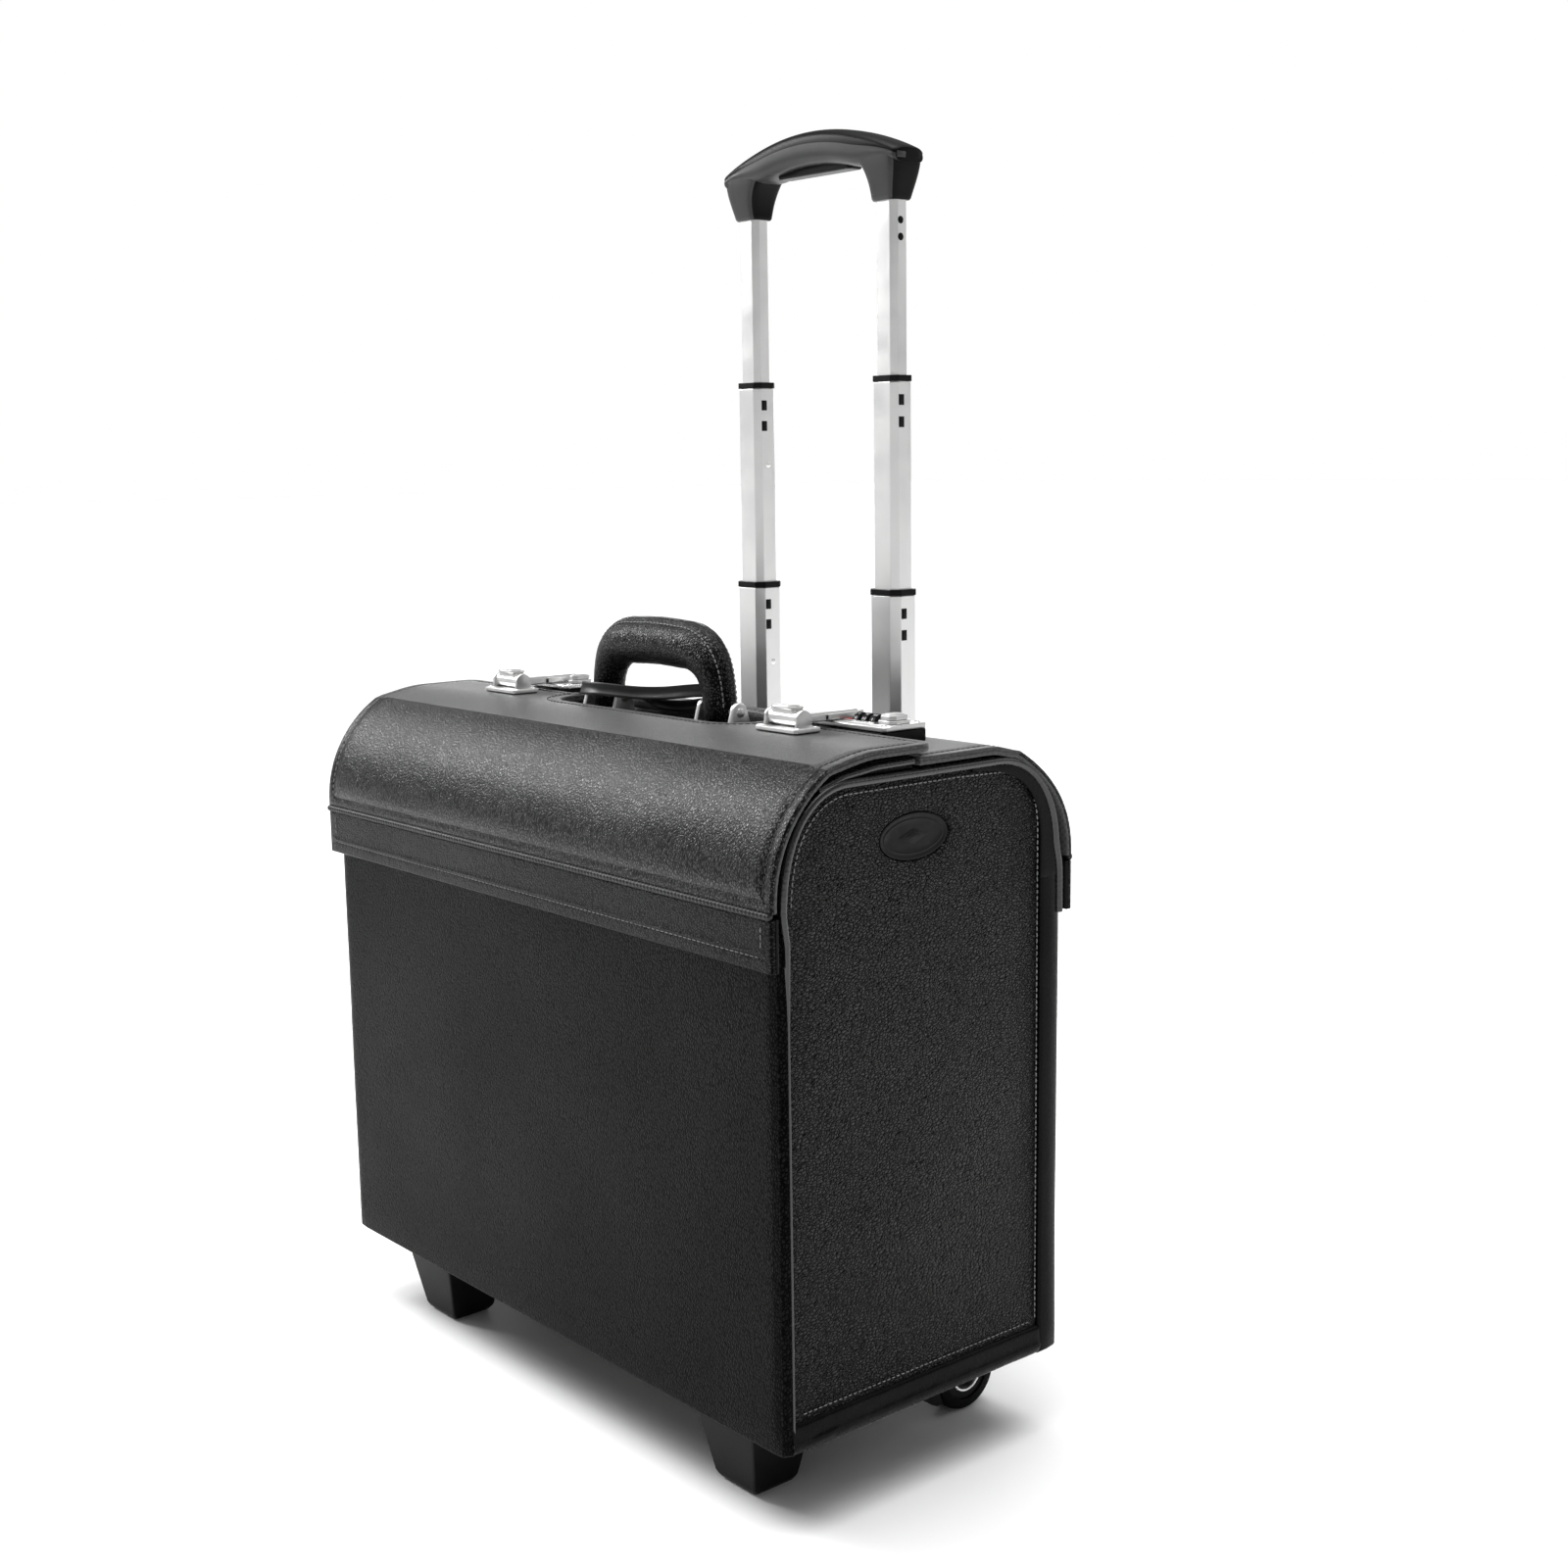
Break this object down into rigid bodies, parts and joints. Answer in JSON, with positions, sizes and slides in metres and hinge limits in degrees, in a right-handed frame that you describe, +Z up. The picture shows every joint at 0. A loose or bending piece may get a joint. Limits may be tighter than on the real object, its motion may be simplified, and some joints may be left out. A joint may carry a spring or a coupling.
{
  "type": "pilot flight case",
  "caption": "Rolling leather pilot case with a hinged lid flap, wrapped carry handle, latches, combination lock and telescopic trolley handle.",
  "frame": {"origin": "on the floor, under the middle of the whole object's box", "axes": "+X along the case's long side, +Y from the front towards the trolley handle at the back, +Z up"},
  "size_m": [0.464, 0.2586, 0.78],
  "materials": {
    "leather": "pebbled black leather, satin",
    "leather_trim": "smooth black leather binding",
    "nickel": "polished nickel plate",
    "aluminium": "satin anodised",
    "black_plastic": "moulded, fine texture",
    "tyre": "matt rubber",
    "steel": "plain"
  },
  "bodies": {
    "case": {"floor_panel": "leather_trim", "front_wall": "leather", "rear_wall": "leather_trim", "end_panel_left": "leather", "end_panel_right": "leather", "handle_rail": "leather_trim", "front_hinge_band": "leather", "rear_hinge_band": "leather", "rear_flap": "leather", "rear_handle_collar": "leather", "handle_bracket_left": "nickel", "handle_bracket_right": "nickel", "handle_pin_left": "steel", "handle_pin_right": "steel", "tag_strap": "leather_trim", "lock_plinth": "black_plastic", "lock_plate": "nickel", "dial_axle": "steel", "catch_plinth": "black_plastic", "catch_plate": "nickel", "trolley_back_plate": "black_plastic", "trolley_clamp_upper": "black_plastic", "trolley_clamp_lower": "black_plastic", "trolley_base_tube_left": "aluminium", "trolley_base_tube_right": "aluminium", "trolley_base_collar_left": "black_plastic", "trolley_base_collar_right": "black_plastic", "foot_left": "black_plastic", "foot_right": "black_plastic", "wheel_housing_left": "black_plastic", "wheel_housing_right": "black_plastic", "wheel_axle_left": "steel", "wheel_axle_right": "steel"},
    "front_lid": {"front_flap": "leather", "latch_base_left": "nickel", "latch_base_right": "nickel"},
    "hasp_left": {"latch_hasp_left": "nickel"},
    "hasp_right": {"latch_hasp_right": "nickel"},
    "lock_slide": {"lock_slide": "nickel"},
    "catch_slide": {"catch_slide": "nickel"},
    "dial_1": {"lock_dial_1": "black_plastic"},
    "dial_2": {"lock_dial_2": "black_plastic"},
    "dial_3": {"lock_dial_3": "black_plastic"},
    "handle": {"carry_handle": "leather"},
    "stage_lower": {"trolley_lower_tube_left": "aluminium", "trolley_lower_tube_right": "aluminium", "trolley_lower_collar_left": "black_plastic", "trolley_lower_collar_right": "black_plastic"},
    "stage_middle": {"trolley_middle_tube_left": "aluminium", "trolley_middle_tube_right": "aluminium", "trolley_middle_collar_left": "black_plastic", "trolley_middle_collar_right": "black_plastic"},
    "stage_upper": {"trolley_upper_tube_left": "aluminium", "trolley_upper_tube_right": "aluminium", "trolley_grip": "black_plastic"},
    "release_bar": {"release_bar": "black_plastic"},
    "wheel_left": {"wheel_hub_left": "aluminium", "wheel_tyre_left": "tyre"},
    "wheel_right": {"wheel_hub_right": "aluminium", "wheel_tyre_right": "tyre"}
  },
  "joints": [
    {"name": "front_lid_hinge", "type": "hinge", "parent": "case", "child": "front_lid", "pos_m": [0, -0.12925, 0.347], "axis": [1, 0, 0], "range_deg": [0, 170]},
    {"name": "hasp_left_hinge", "type": "hinge", "parent": "front_lid", "child": "hasp_left", "pos_m": [-0.141, -0.03875, 0.4355], "axis": [1, 0, 0], "range_deg": [0, 100]},
    {"name": "hasp_right_hinge", "type": "hinge", "parent": "front_lid", "child": "hasp_right", "pos_m": [0.141, -0.03875, 0.4355], "axis": [1, 0, 0], "range_deg": [0, 100]},
    {"name": "lock_slide_travel", "type": "slide", "parent": "case", "child": "lock_slide", "axis": [1, 0, 0], "range_m": [0, 0.002], "stiffness_N_per_m": 300, "springref_m": -0.001},
    {"name": "catch_slide_travel", "type": "slide", "parent": "case", "child": "catch_slide", "axis": [1, 0, 0], "range_m": [0, 0.002], "stiffness_N_per_m": 300, "springref_m": -0.001},
    {"name": "dial_1_spin", "type": "hinge", "parent": "case", "child": "dial_1", "pos_m": [0.1537, 0.00625, 0.4268], "axis": [1, 0, 0], "continuous": true},
    {"name": "dial_2_spin", "type": "hinge", "parent": "case", "child": "dial_2", "pos_m": [0.1605, 0.00625, 0.4268], "axis": [1, 0, 0], "continuous": true},
    {"name": "dial_3_spin", "type": "hinge", "parent": "case", "child": "dial_3", "pos_m": [0.1673, 0.00625, 0.4268], "axis": [1, 0, 0], "continuous": true},
    {"name": "carry_handle_hinge", "type": "hinge", "parent": "case", "child": "handle", "pos_m": [0, -0.01975, 0.428], "axis": [1, 0, 0], "range_deg": [-60, 60], "deforming": ["tag_strap"]},
    {"name": "trolley_lower_slide", "type": "slide", "parent": "case", "child": "stage_lower", "axis": [0, 0, 1], "range_m": [-0.12, 0]},
    {"name": "trolley_middle_slide", "type": "slide", "parent": "stage_lower", "child": "stage_middle", "axis": [0, 0, 1], "range_m": [-0.125, 0]},
    {"name": "trolley_upper_slide", "type": "slide", "parent": "stage_middle", "child": "stage_upper", "axis": [0, 0, 1], "range_m": [-0.104, 0]},
    {"name": "release_bar_squeeze", "type": "slide", "parent": "stage_upper", "child": "release_bar", "axis": [0, 0, 1], "range_m": [0, 0.004], "stiffness_N_per_m": 800, "springref_m": -0.001},
    {"name": "wheel_left_spin", "type": "hinge", "parent": "case", "child": "wheel_left", "pos_m": [-0.17, 0.06525, 0.024], "axis": [1, 0, 0], "continuous": true},
    {"name": "wheel_right_spin", "type": "hinge", "parent": "case", "child": "wheel_right", "pos_m": [0.17, 0.06525, 0.024], "axis": [1, 0, 0], "continuous": true}
  ]
}
